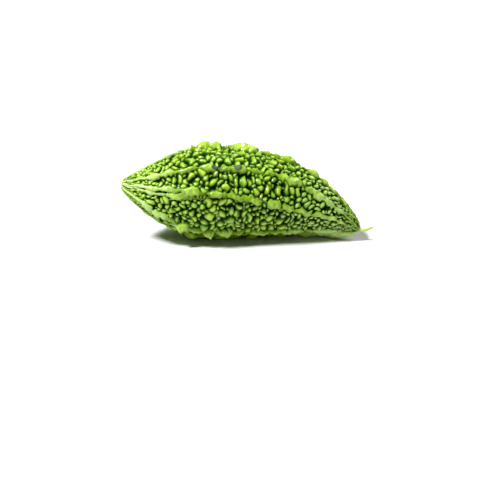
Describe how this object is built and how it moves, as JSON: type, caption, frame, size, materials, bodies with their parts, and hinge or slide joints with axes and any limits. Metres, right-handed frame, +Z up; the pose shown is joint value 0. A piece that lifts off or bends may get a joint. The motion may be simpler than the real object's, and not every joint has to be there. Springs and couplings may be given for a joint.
{
  "type": "bitter gourd",
  "caption": "Small spindle-shaped bitter gourd with warty skin and raised lengthwise ribs, as picked, lying on its side.",
  "frame": {"origin": "middle of the bounding box in plan, on the surface that the fruit lies on", "axes": "+X from the stem scar to the blossom beak, +Z up, -Y is the side that the picture shows"},
  "size_m": [0.0975, 0.0373, 0.0375],
  "materials": {
    "rind": "fresh green rind with a waxy gloss, paler on the ribs and at the ends, dark in the creases"
  },
  "bodies": {
    "root": {"gourd": "rind"}
  },
  "joints": []
}
